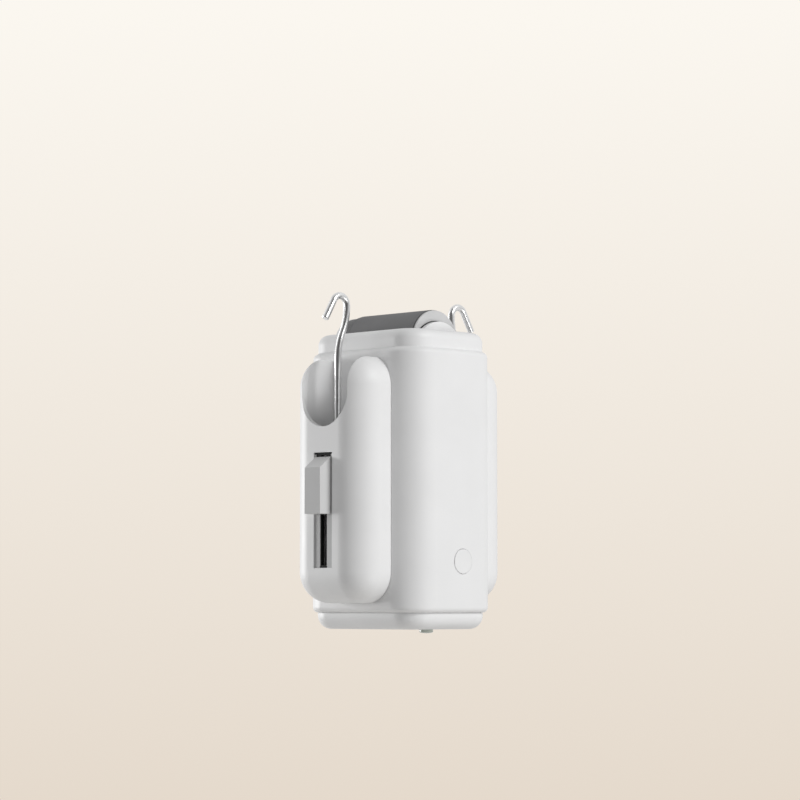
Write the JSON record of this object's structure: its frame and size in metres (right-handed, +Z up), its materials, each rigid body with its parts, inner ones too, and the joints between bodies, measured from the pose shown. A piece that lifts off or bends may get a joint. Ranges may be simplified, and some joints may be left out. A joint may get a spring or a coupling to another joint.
{
  "type": "smart curtain robot",
  "caption": "Hanging curtain drive: rounded white housing, rubber roller on top for the rail's underside, side pods with sliders that raise wire hooks for the runners' eyes.",
  "frame": {"origin": "crown of the roller, midway along it, where it meets the underside of the rail", "axes": "+X along the rail, -Y the front with the button, +Z up"},
  "size_m": [0.089, 0.0592, 0.1236],
  "materials": {
    "shell": "matte white moulding",
    "slider": "matte, a little greyer",
    "wire": "bright bent wire",
    "steel": "plain",
    "rubber": "dark grey, matte",
    "bronze": "plain",
    "gear": "moulded",
    "inner_plastic": "moulded",
    "battery": "shrink sleeve",
    "board": "solder mask",
    "black_plastic": "moulded",
    "lens": "grey-green, smooth"
  },
  "bodies": {
    "housing": {"main_housing": "shell", "rear_cover": "shell", "top_cap": "shell", "bottom_cap": "shell", "left_pod": "shell", "right_pod": "shell", "left_slot_liner": "black_plastic", "right_slot_liner": "black_plastic", "roller_axle": "steel", "front_boss": "shell", "idler_pin": "steel", "motor": "steel", "inner_frame": "inner_plastic", "battery_cells": "battery", "main_pcb": "board", "tact_switch": "black_plastic", "usb_socket": "steel", "light_sensor_lens": "lens", "rear_cover_screws": "steel", "pod_screws": "steel", "board_screws": "steel"},
    "roller": {"roller_core": "shell", "roller_sleeve": "rubber", "roller_bushes": "bronze", "roller_gear": "gear"},
    "idler": {"idler_gear": "gear"},
    "motor_output": {"motor_pinion": "bronze", "motor_shaft": "steel"},
    "left_lift": {"left_slider": "slider", "left_carriage": "inner_plastic", "left_hook": "wire", "left_detent_spring": "steel"},
    "right_lift": {"right_slider": "slider", "right_carriage": "inner_plastic", "right_hook": "wire", "right_detent_spring": "steel"},
    "button": {"button_cap": "shell"}
  },
  "joints": [
    {"name": "roller_spin", "type": "hinge", "parent": "housing", "child": "roller", "pos_m": [0, 0, -0.0118], "axis": [0, 1, 0], "continuous": true},
    {"name": "idler_spin", "type": "hinge", "parent": "housing", "child": "idler", "pos_m": [0, 0, -0.0286], "axis": [0, 1, 0], "continuous": true},
    {"name": "pinion_spin", "type": "hinge", "parent": "housing", "child": "motor_output", "pos_m": [0, 0, -0.0406], "axis": [0, 1, 0], "continuous": true},
    {"name": "left_lift_slide", "type": "slide", "parent": "housing", "child": "left_lift", "axis": [0, 0, 1], "range_m": [-0.019, 0]},
    {"name": "right_lift_slide", "type": "slide", "parent": "housing", "child": "right_lift", "axis": [0, 0, 1], "range_m": [-0.019, 0]},
    {"name": "button_press", "type": "slide", "parent": "housing", "child": "button", "axis": [0, 1, 0], "range_m": [0, 0.0005], "stiffness_N_per_m": 400}
  ],
  "couplings": [
    {"joint": "idler_spin", "follows": "roller_spin", "ratio": -1.1},
    {"joint": "pinion_spin", "follows": "roller_spin", "ratio": 2.2}
  ]
}
